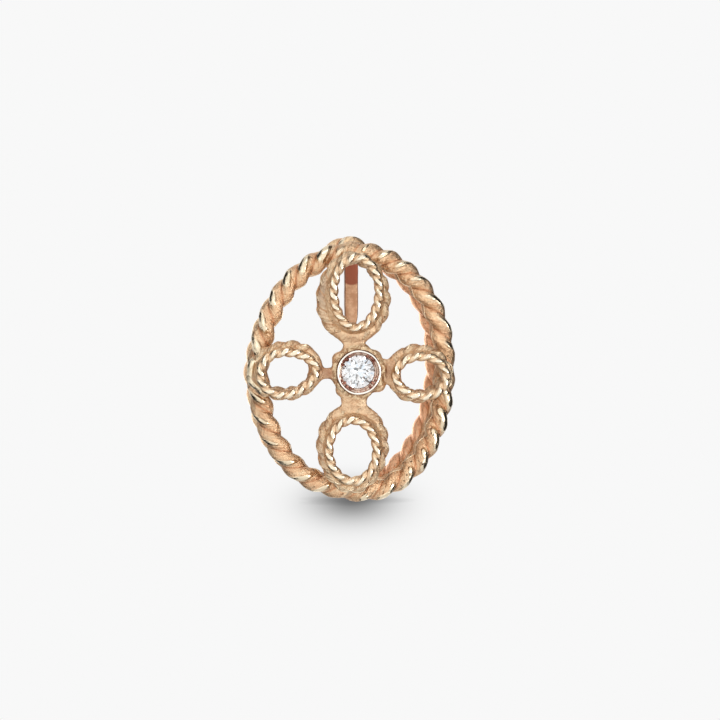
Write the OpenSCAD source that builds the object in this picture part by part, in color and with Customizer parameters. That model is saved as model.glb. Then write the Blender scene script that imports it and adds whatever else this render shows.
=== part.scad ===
// Oval earring of twisted rope wire: a rim of two stacked ropes, four petal loops
// soldered across its front, a bezel-set stone in the middle and a flat ear hook behind.
// Millimetres. X runs to the right, Y to the back and Z up. The origin is where the hook
// bears on the ear. Every rope is two wires twisted to the left and soldered solid.

/* [Rim] */
// Width of the rim over its front rope
rim_w = 15; // [14.8:0.1:15.6]
// Height of the rim over its front rope
rim_h = 18.4; // [18.2:0.1:19]
// Diameter of the front rope over its lobes
rim_rope_d = 1.6; // [1.4:0.05:1.65]
// Diameter of the back rope over its lobes
back_rope_d = 1.4; // [1.2:0.05:1.5]
// How far the back rope sits inside the front rope
back_inset = 0.2; // [0.1:0.02:0.4]
// Lobes round the front rope
rim_lobes = 30; // [28:1:33]
// Lobes round the back rope
back_lobes = 30; // [28:1:33]

/* [Petals] */
// Diameter of each petal's base rope over its lobes
base_rope_d = 1; // [0.9:0.02:1.04]
// Diameter of each petal's trim rope over its lobes
trim_rope_d = 0.7; // [0.5:0.02:0.72]

/* [Setting] */
// Diameter of the cut stone
stone_d = 2.4; // [2:0.05:2.45]
// Outer diameter of the bezel's mouth
bezel_d = 3.06; // [3:0.02:3.1]
// Height of the bezel's lip over the rim's middle plane
bezel_front = 2.55; // [2.5:0.05:3]
// Diameter of the rope of the collar under the bezel
collar_rope_d = 0.76; // [0.6:0.02:0.8]

/* [Hook] */
// Width of the hook's flat strip
strip_w = 0.98; // [0.8:0.02:1.4]
// Thickness of the strip
strip_t = 0.5; // [0.4:0.05:0.7]
// Clear gap between the rim and the hook's leg, for the ear
ear_gap = 3.2; // [2.6:0.1:3.8]
// Length of the leg below the seat
leg_l = 5.9; // [4:0.1:8]

/* [Hidden] */

gold = "#d3a378";
gold_shade = "#b8704f";
gold_bright = "#e6c092";
stone_white = "#f2f4f6";

// Clearance between neighbouring pieces
fit = 0.03;

// Depth of each layer's middle plane, the rim's front rope being at zero.
// A layer's lobes sink a little into the notches of the one behind it
nest = 0.1;
back_y = (rim_rope_d + back_rope_d) / 2;
base_y = -(rim_rope_d + base_rope_d) / 2 + nest;
trim_y = base_y - (base_rope_d + trim_rope_d) / 2;
collar_lift = 0.2;
collar_y = base_y - collar_lift;

// The hand-bent rim swells out or in near some turns of its oval.
// Columns: turn in degrees, height in mm, spread in degrees
rim_swells = [
    [298, 0.24, 22],
    [260, -0.2, 16],
    [358, -0.2, 22],
];
back_swells = [
    [298, 0.24, 22],
    [358, -0.2, 22],
    [95, 0.7, 9],
    [181, 0.16, 8],
];
// The back rope lies a little to the left and leans in degrees
back_x = -0.2;
back_lean = -4;

// The hand twist runs ahead or behind near some turns.
// Columns: turn in degrees, shift in lobes, spread in degrees
rim_drift = [
    [48, 0.36, 34],
    [145, -0.2, 34],
];

// One row for each petal, in the order top, right, bottom, left.
// Columns: heading from the collar, middle x, middle z, half length, half width,
// widening away from the collar, lean in degrees, lobes, first lobe
base_rows = [
    [90, -0.2, 5.44, 2.67, 2.14, -0.1, 0, 14, 0.3],
    [0, 4.53, -0.02, 1.88, 1.6, -0.14, -4, 11, 0.3],
    [270, -0.25, -5.22, 2.65, 2.08, -0.12, 0, 14, 0.3],
    [180, -5.05, 0.35, 2.2, 1.6, -0.1, 6, 12, 0.3],
];
trim_rows = [
    [90, -0.14, 5.76, 2.41, 1.59, 0.04, 0, 17, 0.14],
    [0, 4.42, -0.1, 1.79, 1.38, 0.04, -6, 12, 0.22],
    [270, -0.39, -5.2, 2.14, 1.68, 0, 4, 15, 0.1],
    [180, -4.88, 0.3, 1.93, 1.44, 0.16, 6, 14, 0.14],
];
HEADING = 0;
MIDDLE_X = 1;
MIDDLE_Z = 2;
HALF_LENGTH = 3;
HALF_WIDTH = 4;
WIDENING = 5;
LEAN = 6;
LOBES = 7;
FIRST = 8;
TOP = 0;
RIGHT = 1;
BOTTOM = 2;
LEFT = 3;

// The collar's rope, round the stem of the bezel
collar_x = 0.11;
collar_z = 0.23;
collar_r = 1.54;
collar_lobes = 9;

// Solder webs between the collar and the petals, in the order of the petals.
// Columns: middle across the web, half width where it is narrowest
web_rows = [
    [-0.17, 0.78],
    [0.2, 0.88],
    [-0.18, 0.92],
    [0.13, 0.4],
];
WEB_MIDDLE = 0;
WEB_HALF = 1;
web_t = 0.6;
// Steps along a web, and how much wider it is there than at its waist.
// Columns: share of the way to the petal, widening
web_steps = [
    [0, 1.15],
    [0.45, 1],
    [1, 1.65],
];

// The bezel's middle and the sizes of its turned profile
bezel_x = -0.03;
bezel_z = 0.28;
lip_t = 0.1;
lip_bevel = 0.06;
head_h = 0.42;
head_taper = 0.04;
flare_h = 0.3;
stem_d = 2.16;
stem_back = 0.72;
light_hole_d = 1.24;
// Four grains are raised out of the cup's wall just outside the stone's edge
grain_r = 0.15;
grain_out = 0.1;
grain_rise = 0.2;

// The stone's proportions
girdle_t = 0.05;
crown_h = 0.15 * stone_d;
pavilion_h = 0.43 * stone_d;
table_d = 0.56 * stone_d;
// The stone's girdle sits this far behind the bezel's lip
stone_sink = 0.48;

// The hook stands a little to the right of the rim's middle
hook_x = 0.82;
hook_top = rim_h / 2 - 0.2;
// Outer radius of the strip's two bends
bend_r = 0.8;
// The short front end of the strip, soldered to the back rope
tab_l = 1.4;
tab_bottom = hook_top - tab_l;
strip_front_y = back_y + back_rope_d / 2 + fit;
leg_front_y = strip_front_y + ear_gap;
seat_z = hook_top - strip_t;

// Everything is drawn round the rim's middle, then moved so that the seat is the origin
seat = [hook_x, (strip_front_y + strip_t + leg_front_y) / 2, seat_z];

// Corners round a rope, and rings of corners along each of its lobes
rope_sides = 8;
rope_steps = 4;
rim_sides = 12;
rim_steps = 5;
// The rims' first lobe starts half a lobe past the right side
rim_first = 0.5;

function unit(v) = v / norm(v);
function turn_gap(a, b) = abs((a - b + 540) % 360 - 180);
function swell_at(turn, rows, i = 0) =
    i == len(rows) ? 0
    : rows[i][1] * exp(-pow(turn_gap(turn, rows[i][0]) / rows[i][2], 2))
        + swell_at(turn, rows, i + 1);

// A point of the rim's oval at a turn, counterclockwise from the right
function rim_point(turn, middle, inset, lean, swells) =
    let (push = swell_at(turn, swells) - inset,
        x = ((rim_w - rim_rope_d) / 2 + push) * cos(turn),
        z = ((rim_h - rim_rope_d) / 2 + push) * sin(turn))
    [middle.x + x * cos(lean) - z * sin(lean), middle.y,
        x * sin(lean) + z * cos(lean)];

// A point of a petal's loop: u runs out from the collar and v across it
function petal_point(turn, row, y) =
    let (u = row[HALF_LENGTH] * cos(turn),
        v = row[HALF_WIDTH] * sin(turn) * (1 + row[WIDENING] * cos(turn)),
        a = row[HEADING] + row[LEAN])
    [row[MIDDLE_X] + u * cos(a) - v * sin(a), y, row[MIDDLE_Z] + u * sin(a) + v * cos(a)];

// Distance travelled along a closed route against the turn, in steps of two degrees
function route_lengths(route) =
    [for (i = 0, s = 0; i <= 180; s = s + norm(route(2 * i + 2) - route(2 * i)), i = i + 1)
        [s, 2 * i]];

// Outline of two twisted wires: how far the rope reaches at an angle from its strands
function rope_reach(angle, d) =
    let (apart = 0.145 * d, wire = 0.355 * d)
    apart * abs(cos(angle)) + sqrt(pow(wire, 2) - pow(apart * sin(angle), 2));

// Points of a rope ring along a route, with its lobes evenly spaced but for the drift
function rope_points(route, d, lobes, first, sides, steps, drift) =
    let (table = route_lengths(route), total = table[180][0], rings = lobes * steps)
    [for (i = [0 : rings - 1])
        let (turn = lookup(total * i / rings, table),
            along = unit(route(turn + 1) - route(turn - 1)),
            outward = unit(cross(along, [0, -1, 0])),
            front = cross(outward, along),
            twist = 180 * (lobes * i / rings - first - swell_at(turn, drift)))
        for (j = [0 : sides - 1])
            let (a = 360 * j / sides)
            route(turn) + rope_reach(a, d)
                * (cos(a + twist) * outward + sin(a + twist) * front)];

// The last ring meets the first one half a turn on when the count of lobes is odd
function rope_faces(lobes, sides, steps) =
    let (rings = lobes * steps, shift = (lobes % 2) * sides / 2)
    [for (i = [0 : rings - 1])
        for (j = [0 : sides - 1])
            let (k = (j + 1) % sides,
                last = i == rings - 1,
                a = i * sides + j,
                b = i * sides + k,
                c = last ? (k + shift) % sides : (i + 1) * sides + k,
                e = last ? (j + shift) % sides : (i + 1) * sides + j)
            each [[a, b, e], [b, c, e]]];

module rope_ring(route, d, lobes, first, sides = rope_sides, steps = rope_steps, drift = [])
    polyhedron(
        points = rope_points(route, d, lobes, first, sides, steps, drift),
        faces = rope_faces(lobes, sides, steps),
        convexity = 6
    );

module placed()
    translate(-seat)
        children();

module rim_front()
    color(gold)
        placed()
            rope_ring(function(t) rim_point(t, [0, 0], 0, 0, rim_swells), rim_rope_d,
                rim_lobes, rim_first, rim_sides, rim_steps, rim_drift);

module rim_back()
    color(gold_shade)
        placed()
            rope_ring(
                function(t) rim_point(t, [back_x, back_y], back_inset, back_lean, back_swells),
                back_rope_d, back_lobes, rim_first, rope_sides, rim_steps);

module petal_base(which)
    color(gold)
        placed()
            rope_ring(function(t) petal_point(t, base_rows[which], base_y),
                base_rope_d, base_rows[which][LOBES], base_rows[which][FIRST]);

module petal_trim(which)
    color(gold_bright)
        placed()
            rope_ring(function(t) petal_point(t, trim_rows[which], trim_y),
                trim_rope_d, trim_rows[which][LOBES], trim_rows[which][FIRST]);

module petal_top_base() petal_base(TOP);
module petal_right_base() petal_base(RIGHT);
module petal_bottom_base() petal_base(BOTTOM);
module petal_left_base() petal_base(LEFT);
module petal_top_trim() petal_trim(TOP);
module petal_right_trim() petal_trim(RIGHT);
module petal_bottom_trim() petal_trim(BOTTOM);
module petal_left_trim() petal_trim(LEFT);

// A smooth tube along a petal's base rope, a little wider than the rope
module base_clearance(which)
    let (row = base_rows[which], sides = 8, rings = 28,
        reach = (base_rope_d / 2 + fit) / cos(180 / sides))
    polyhedron(
        points = [for (i = [0 : rings - 1], j = [0 : sides - 1])
            let (turn = 360 * i / rings,
                along = unit(petal_point(turn + 1, row, base_y)
                    - petal_point(turn - 1, row, base_y)),
                outward = cross(along, [0, -1, 0]),
                a = 360 * j / sides)
            petal_point(turn, row, base_y)
                + reach * (cos(a) * outward + sin(a) * [0, -1, 0])],
        faces = [for (i = [0 : rings - 1], j = [0 : sides - 1])
            let (next = (i + 1) % rings, k = (j + 1) % sides)
            each [[i * sides + j, i * sides + k, next * sides + j],
                [i * sides + k, next * sides + k, next * sides + j]]],
        convexity = 4
    );

// A corner of a solder web: a share of the way from the collar's rope to the petal's
function web_corner(which, step, side) =
    let (row = base_rows[which], web = web_rows[which],
        out = [cos(row[HEADING]), 0, sin(row[HEADING])],
        across = [abs(out.z), 0, abs(out.x)],
        start = collar_r + [collar_x, 0, collar_z] * out,
        end = petal_point(180, row, 0) * out,
        half = step[1] * (web[WEB_HALF] - web_t / 2))
    (start + step[0] * (end - start)) * out
        + (web[WEB_MIDDLE] + side * half) * across
        + [0, collar_y + step[0] * (base_y - collar_y), 0];

// A solder web: two flat plates that meet at its waist
module web(which)
    for (i = [0, 1])
        hull()
            for (step = [web_steps[i], web_steps[i + 1]], side = [-1, 1])
                translate(web_corner(which, step, side))
                    sphere(d = web_t, $fn = 10);

module bezel_clearance()
    translate([bezel_x, 0, bezel_z])
        rotate([90, 0, 0])
            cylinder(d = stem_d + 2 * fit, h = bezel_front, $fn = 32);

module collar()
    color(gold)
        placed()
            difference() {
                union() {
                    rope_ring(
                        function(t) [collar_x + collar_r * cos(t), collar_y,
                            collar_z + collar_r * sin(t)],
                        collar_rope_d, collar_lobes, 0);
                    for (which = [TOP : LEFT])
                        web(which);
                }
                for (which = [TOP : LEFT])
                    base_clearance(which);
                bezel_clearance();
            }

module bezel()
    color(gold_bright)
        placed()
            translate([bezel_x, 0, bezel_z])
                rotate([90, 0, 0]) {
                    bezel_cup();
                    for (a = [45 : 90 : 315])
                        rotate(a)
                            translate([stone_d / 2 + grain_out, 0,
                                bezel_front - stone_sink + grain_rise])
                                sphere(r = grain_r, $fn = 24);
                }

// How far below the girdle the cup's wall runs, along the stone's underside
function seat_depth(r) = girdle_t + 2 * fit + (stone_d / 2 - r) * 2 * pavilion_h / stone_d;

// Turned cup: a stem through the collar, a flared head, the seat and the light hole
module bezel_cup()
    let (girdle = bezel_front - stone_sink, head = bezel_front - head_h,
        bezel_r = bezel_d / 2, mouth_r = bezel_r - lip_t, seat_r = stone_d / 2 + fit,
        light_r = light_hole_d / 2)
    rotate_extrude($fn = 64)
        polygon([
            [light_r, stem_back],
            [stem_d / 2, stem_back],
            [stem_d / 2, head - flare_h],
            [bezel_r - head_taper, head],
            [bezel_r, bezel_front - lip_bevel],
            [bezel_r - lip_t / 3, bezel_front],
            [mouth_r + lip_t / 3, bezel_front],
            [mouth_r, bezel_front - lip_bevel],
            [seat_r, girdle + girdle_t],
            [seat_r, girdle - girdle_t - fit],
            [light_r, girdle - seat_depth(light_r)],
        ]);

// Heights of the facets' corners follow from the slope of the main facets
module brilliant()
    let (gr = stone_d / 2, tr = table_d / 2, cr = 0.8 * gr, pr = 0.3 * gr,
        crown_z = crown_h * (gr - cr * cos(22.5)) / (gr - tr),
        pavilion_z = -pavilion_h * (1 - pr * cos(22.5) / gr),
        ring = function(r, z, count, first)
            [for (i = [0 : count - 1])
                [r * cos(360 * i / count + first), r * sin(360 * i / count + first), z]],
        table = 0,
        crown = 8,
        girdle = 16,
        under = 32,
        pavilion = 48,
        culet = 56)
    polyhedron(
        points = concat(
            ring(tr, crown_h, 8, 0),
            ring(cr, crown_z, 8, 22.5),
            ring(gr, 0, 16, 0),
            ring(gr, -girdle_t, 16, 0),
            ring(pr, pavilion_z - girdle_t, 8, 22.5),
            [[0, 0, -pavilion_h - girdle_t]]),
        faces = concat(
            [[for (i = [7 : -1 : 0]) table + i]],
            [for (i = [0 : 7]) let (k = (i + 1) % 8)
                [table + i, table + k, crown + i]],
            [for (i = [0 : 7]) let (k = (i + 7) % 8)
                [table + i, crown + i, girdle + 2 * i, crown + k]],
            [for (i = [0 : 7]) [crown + i, girdle + 2 * i + 1, girdle + 2 * i]],
            [for (i = [0 : 7]) [crown + i, girdle + (2 * i + 2) % 16, girdle + 2 * i + 1]],
            [for (i = [0 : 15]) let (k = (i + 1) % 16)
                [girdle + i, girdle + k, under + k, under + i]],
            [for (i = [0 : 7]) [under + 2 * i, under + 2 * i + 1, pavilion + i]],
            [for (i = [0 : 7]) [under + 2 * i + 1, under + (2 * i + 2) % 16, pavilion + i]],
            [for (i = [0 : 7]) let (k = (i + 7) % 8)
                [culet, pavilion + k, under + 2 * i, pavilion + i]])
    );

module stone()
    color(stone_white)
        placed()
            translate([bezel_x, stone_sink - bezel_front, bezel_z])
                rotate([90, 0, 0])
                    brilliant();

module strip_bend(middle_y, first)
    translate([0, middle_y, hook_top - bend_r])
        rotate([0, 90, 0])
            rotate([0, 0, first])
                rotate_extrude(angle = 90, $fn = 64)
                    translate([bend_r - strip_t, -strip_w / 2])
                        square([strip_t, strip_w]);

module ear_hook()
    color(gold)
        placed()
            translate([hook_x, 0, 0]) {
                let (bend_z = hook_top - bend_r,
                    front_mid = strip_front_y + bend_r,
                    rear_mid = leg_front_y + strip_t - bend_r,
                    tip_z = seat_z - leg_l + strip_w / 2) {
                    translate([-strip_w / 2, strip_front_y, tab_bottom])
                        cube([strip_w, strip_t, bend_z - tab_bottom]);
                    strip_bend(front_mid, 180);
                    translate([-strip_w / 2, front_mid, seat_z])
                        cube([strip_w, rear_mid - front_mid, strip_t]);
                    strip_bend(rear_mid, 90);
                    translate([-strip_w / 2, leg_front_y, tip_z])
                        cube([strip_w, strip_t, bend_z - tip_z]);
                    translate([0, leg_front_y + strip_t, tip_z])
                        rotate([90, 0, 0])
                            cylinder(d = strip_w, h = strip_t, $fn = 48);
                }
            }

rim_front();
rim_back();
petal_top_base();
petal_right_base();
petal_bottom_base();
petal_left_base();
petal_top_trim();
petal_right_trim();
petal_bottom_trim();
petal_left_trim();
collar();
bezel();
stone();
ear_hook();
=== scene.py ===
"""Looks of an oval rope-wire earring: twisted ropes, petal loops, a bezel-set stone and an ear hook."""
from functools import partial
from itertools import product
from math import cos, pi, radians, sin, sqrt

import bmesh
import bpy
import numpy as np
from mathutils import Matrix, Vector


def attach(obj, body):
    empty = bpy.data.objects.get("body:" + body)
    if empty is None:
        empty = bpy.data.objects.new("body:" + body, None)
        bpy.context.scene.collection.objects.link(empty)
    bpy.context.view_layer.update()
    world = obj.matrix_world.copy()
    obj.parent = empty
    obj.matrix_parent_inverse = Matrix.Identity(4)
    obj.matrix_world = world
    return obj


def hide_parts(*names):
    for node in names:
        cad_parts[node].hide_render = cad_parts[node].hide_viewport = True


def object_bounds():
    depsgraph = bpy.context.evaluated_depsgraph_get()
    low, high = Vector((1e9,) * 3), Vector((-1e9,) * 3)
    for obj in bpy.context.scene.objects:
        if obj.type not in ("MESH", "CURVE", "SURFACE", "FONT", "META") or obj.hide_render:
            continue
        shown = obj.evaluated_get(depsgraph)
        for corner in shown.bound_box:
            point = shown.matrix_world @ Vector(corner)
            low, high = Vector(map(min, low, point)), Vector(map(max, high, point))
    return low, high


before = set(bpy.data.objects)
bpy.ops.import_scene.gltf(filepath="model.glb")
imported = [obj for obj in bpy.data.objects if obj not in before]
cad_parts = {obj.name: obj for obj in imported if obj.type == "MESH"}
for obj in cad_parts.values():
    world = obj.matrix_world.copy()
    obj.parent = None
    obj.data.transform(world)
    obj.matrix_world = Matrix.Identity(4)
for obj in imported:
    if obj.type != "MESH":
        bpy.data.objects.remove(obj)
cad_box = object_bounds()

# Camera. The front is seen from a little to the left and a little above, with a long lens that
# takes 0.07 mm for each pixel at the middle of the rim.
SEAT = np.array([0.82, 4.08, 8.5])
VIEW_YAW = radians(10)
VIEW_PITCH = radians(6)
VIEW_DISTANCE = 0.150
MM_PER_PIXEL = 0.07
IMAGE_SIDE = 720
SENSOR_WIDTH = 36
# How far the picture's middle lies right of the rim's middle and above it, in metres
AIM_RIGHT = 0.469e-3
AIM_UP = 0.882e-3


def place_in_scene(name, data):
    """A new object in the scene."""
    piece = bpy.data.objects.new(name, data)
    bpy.context.scene.collection.objects.link(piece)
    return piece


view_right = Vector((cos(VIEW_YAW), -sin(VIEW_YAW), 0))
view_up = Vector((sin(VIEW_YAW) * sin(VIEW_PITCH), cos(VIEW_YAW) * sin(VIEW_PITCH), cos(VIEW_PITCH)))
view_ahead = Vector((sin(VIEW_YAW) * cos(VIEW_PITCH), cos(VIEW_YAW) * cos(VIEW_PITCH), -sin(VIEW_PITCH)))
rim_middle = Vector(-SEAT * 0.001)
lens_data = bpy.data.cameras.new("long_lens")
lens_data.sensor_width = SENSOR_WIDTH
lens_data.lens = SENSOR_WIDTH * VIEW_DISTANCE * 1000 / (IMAGE_SIDE * MM_PER_PIXEL)
lens_data.clip_start = 0.002
lens_data.clip_end = 20
camera = place_in_scene("camera", lens_data)
camera.location = rim_middle + AIM_RIGHT * view_right + AIM_UP * view_up - view_ahead * VIEW_DISTANCE
camera.rotation_mode = "QUATERNION"
camera.rotation_quaternion = view_ahead.to_track_quat("-Z", "Y")
bpy.context.scene.camera = camera
bpy.context.scene.view_settings.view_transform = "Standard"

# Front rope of the rim. Two gold wires twisted to the left, bent to a slightly uneven oval by
# hand and soldered along their grooves. The crowns are polished, the flanks are left satin.
RIM_WIDTH = 15
RIM_HEIGHT = 18.4
RIM_ROPE = 1.6
RIM_LOBES = 30
RIM_FIRST = 0.5
# Columns: turn along the rim, outward push in mm, spread
RIM_SWELLS = [(298, 0.24, 22), (260, -0.2, 16), (358, -0.2, 22)]
# Columns: turn along the rim, how far the twist runs ahead in lobes, spread
RIM_DRIFT = [(48, 0.36, 34), (145, -0.2, 34)]


def turns_off(turn, middle):
    """How far each turn in degrees is from a middle one, either way round."""
    return np.abs((turn - middle + 540) % 360 - 180)


def swell_at(turn, rows):
    """Sum of the bell-shaped rows (turn, height, spread) at each turn in degrees."""
    total = np.zeros_like(turn, dtype=float)
    for middle, height, spread in rows:
        total += height * np.exp(-((turns_off(turn, middle) / spread) ** 2))
    return total


def rim_route(turn, x=0.0, y=0.0, inset=0.0, lean=0.0, swells=RIM_SWELLS):
    """Points of the rim's oval, in mm about its middle."""
    push = swell_at(turn, swells) - inset
    a = ((RIM_WIDTH - RIM_ROPE) / 2 + push) * np.cos(np.radians(turn))
    b = ((RIM_HEIGHT - RIM_ROPE) / 2 + push) * np.sin(np.radians(turn))
    c, s = cos(radians(lean)), sin(radians(lean))
    return np.stack([x + a * c - b * s, np.full_like(a, y), a * s + b * c], axis=-1)


def unit(vectors):
    """The same directions, each of length one."""
    return vectors / np.linalg.norm(vectors, axis=-1, keepdims=True)


def rope_rings(route, lobes, rings, first, drift):
    """Evenly spaced rings along a rope: turn, middle, directions outward and to the front, lobe."""
    count = lobes * rings
    fine = np.linspace(0, 360, 1441)
    length = np.concatenate([[0], np.cumsum(np.linalg.norm(np.diff(route(fine), axis=0), axis=1))])
    turn = np.interp(np.arange(count) * length[-1] / count, length, fine)
    along = unit(route(turn + 0.5) - route(turn - 0.5))
    outward = unit(np.cross(along, [0, -1, 0]))
    lobe = lobes * np.arange(count) / count - first - swell_at(turn, drift)
    return turn, route(turn), outward, np.cross(outward, along), lobe


def circle(count):
    """Angles of evenly spaced points round a circle."""
    return np.arange(count) * 2 * pi / count


def two_wires(theta, diameter, apart=0.145, wire=0.355):
    """Reach of the outline of two soldered wires at each angle from the line through them.

    The wires' half distance and radius are shares of the rope's diameter.
    """
    apart, wire = apart * diameter, wire * diameter
    return apart * np.abs(np.cos(theta)) + np.sqrt(wire ** 2 - (apart * np.sin(theta)) ** 2)


def unevenness(points, size, seed, waves=9):
    """Soft hand-made unevenness, from -1 to 1, with swells of about a size in mm."""
    dice = np.random.default_rng(seed)
    total = np.zeros(points.shape[:-1])
    for _ in range(waves):
        heading = dice.normal(size=3)
        heading *= 2 * pi / (size * np.linalg.norm(heading)) * dice.uniform(0.7, 1.4)
        total += np.sin(points @ heading + dice.uniform(0, 2 * pi))
    return total / waves * 1.5


def tube_faces(rings, sides, closed=True, shift=0):
    """Quads between the rings of a tube. A closed one joins its ends, a shift of sides apart."""
    i = np.arange(rings if closed else rings - 1)[:, None]
    j = np.arange(sides)[None, :]
    k = (j + 1) % sides
    near, far = i * sides, (i + 1) % rings * sides
    turned = np.where(i == rings - 1, shift, 0)
    quads = [near + j, near + k, far + (k + turned) % sides, far + (j + turned) % sides]
    return np.stack(quads, axis=-1).reshape(-1, 4).tolist()


def smooth_piece(name, points, faces, **values):
    """An object from points in mm about the rim's middle, with the named values at its points."""
    mesh = bpy.data.meshes.new(name)
    mesh.from_pydata(((points.reshape(-1, 3) - SEAT) * 0.001).tolist(), [], faces)
    for attribute, value in values.items():
        numbers = mesh.attributes.new(attribute, "FLOAT", "POINT").data
        numbers.foreach_set("value", value.astype(np.float32).ravel())
    mesh.polygons.foreach_set("use_smooth", [True] * len(mesh.polygons))
    mesh.update()
    return place_in_scene(name, mesh)


def twisted_rope(name, route, diameter, lobes, first, drift=(), around=48, rings=22, uneven=0.03, seed=1,
                 fill=0.0, fills=(), rubs=(), pits=(), worn=0.03, rugged=0.011):
    """A ring of two twisted wires, worn flat and bright where the polishing wheel reaches it.

    Its strand map runs across a wire from -1 to 1 and along it. Solder fills its grooves by a
    share, more near the turns in fills, and its front is pitted near those in pits. Each row of
    rubs is an oval on every strand: place round the rope in degrees (0 outside, 90 in front) and
    half length, place and half width across, turn and how far to each side, strength.
    """
    turn, centre, outward, front, lobe = rope_rings(route, lobes, rings, first, drift)
    theta = circle(around)
    phi = theta[None, :] + np.radians(180 * lobe)[:, None]
    reach = np.broadcast_to(two_wires(theta, diameter), phi.shape)
    nearer_front = 0.35 + 0.65 * np.clip(1.6 * np.sin(phi), 0, 1)
    filled = np.clip(fill + swell_at(turn, fills), 0, 1)[:, None] * nearer_front
    full = 0.46 * diameter
    reach = np.where(reach < full, reach + (full - reach) * filled, reach)
    # Each lobe is a little fuller or thinner than its neighbours, as hand-twisted wire is
    table = np.random.default_rng(seed).uniform(-1, 1, lobes * 2)
    which = np.floor((lobe[:, None] + theta[None, :] / pi) % (2 * lobes)).astype(int) % (lobes * 2)
    slow = 0.3 * np.sin(np.radians(turn) * 3 + seed)[:, None]
    reach = reach * (1 + uneven * (0.6 * table[which] * np.cos(theta)[None, :] ** 2 + slow))
    across = ((np.degrees(theta) + 90) % 180 - 90)[None, :] / 90
    rubbed = np.full(phi.shape, -1.0)
    for side, half_length, place, half_width, middle, spread, strength in rubs:
        shifted = side + 9 * table[(which + 7) % len(table)]
        off = np.degrees((phi - np.radians(shifted) + pi) % (2 * pi) - pi)
        oval = np.hypot(off / half_length, (across - place) / half_width)
        missing = np.clip((turns_off(turn, middle) - spread) / 8, 0, 1)[:, None]
        oval = 1 - oval * (1 + 0.25 * table[(which + 3) % len(table)])
        rubbed = np.maximum(rubbed, np.where(oval > 0, strength, 1) * oval - 1.5 * missing)
    zone = np.clip(rubbed * 1.6, 0, 1)
    zone = zone * zone * (3 - 2 * zone)
    reach = np.minimum(reach, diameter * (0.5 - worn * zone))
    points = centre[:, None, :] + reach[..., None] * (
        np.cos(phi)[..., None] * outward[:, None, :] + np.sin(phi)[..., None] * front[:, None, :])
    knocks = unevenness(points, 0.6, seed) * rugged + unevenness(points, 0.3, seed + 50) * rugged * 0.5
    points = centre[:, None, :] + (points - centre[:, None, :]) * (1 + knocks / reach)[..., None]
    # With an odd number of lobes a wire ends where the other one starts, half a turn on
    faces = tube_faces(len(turn), around, shift=lobes % 2 * around // 2)
    piece = smooth_piece(
        name, points, faces, rubbed=np.clip(rubbed, -1, 1), inner=np.clip(0.5 - 1.2 * np.cos(phi), 0, 1),
        filled=filled, pitted=swell_at(turn, pits)[:, None] * np.clip(2 * np.sin(phi) - 0.6, 0, 1))
    side = ((np.arange(around) + 0.5) * 360 / around + 90) % 180 - 90
    low, high = (side - 180 / around) / 90, (side + 180 / around) / 90
    strand = np.empty((len(turn), around, 4, 2), dtype=np.float32)
    for corner, (u, v) in enumerate([(low, 0), (high, 0), (high, 1 / rings), (low, 1 / rings)]):
        strand[:, :, corner, 0] = u
        strand[:, :, corner, 1] = lobe[:, None] + v
    piece.data.uv_layers.new(name="strand").data.foreach_set("uv", strand.ravel())
    return piece


def srgb(code):
    """Linear colour of an sRGB hex code."""
    parts = [int(code[i:i + 2], 16) / 255 for i in (1, 3, 5)]
    return tuple(p / 12.92 if p <= 0.04045 else ((p + 0.055) / 1.055) ** 2.4 for p in parts) + (1.0,)


def add_node(tree, kind, inputs=(), **settings):
    """Adds a shader node, makes its settings and fills its inputs.

    The inputs go by name, or in the order in which the node shows them. Each is a value, a
    socket to link from, or a node that stands for its first result.
    """
    node = tree.nodes.new("ShaderNode" + kind)
    for key, value in settings.items():
        setattr(node, key, value)
    if isinstance(inputs, dict):
        pairs = [(node.inputs[key], value) for key, value in inputs.items()]
    else:
        pairs = zip([socket for socket in node.inputs if socket.enabled], inputs)
    for socket, value in pairs:
        if isinstance(value, bpy.types.Node):
            value = next(output for output in value.outputs if output.enabled)
        if isinstance(value, bpy.types.NodeSocket):
            tree.links.new(value, socket)
        else:
            socket.default_value = value
    return node


def per_mm(size):
    """Texture scale, in 1/m, that gives features of a size in mm."""
    return 1000.0 / size


def new_material(name):
    """An empty material and the call that adds a node to it."""
    material = bpy.data.materials.new(name)
    material.use_nodes = True
    material.node_tree.nodes.clear()
    return material, partial(add_node, material.node_tree)


def finish_metal(add, colour, rough, height, strength, relief):
    """Closes a metal's nodes: its colour and roughness, and a relief in metres from its height."""
    bump = add("Bump", {"Height": height, "Strength": strength, "Distance": relief})
    metal = add("BsdfPrincipled", {
        "Base Color": colour, "Metallic": 1.0, "Roughness": rough, "Normal": bump})
    add("OutputMaterial", [metal])


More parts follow.
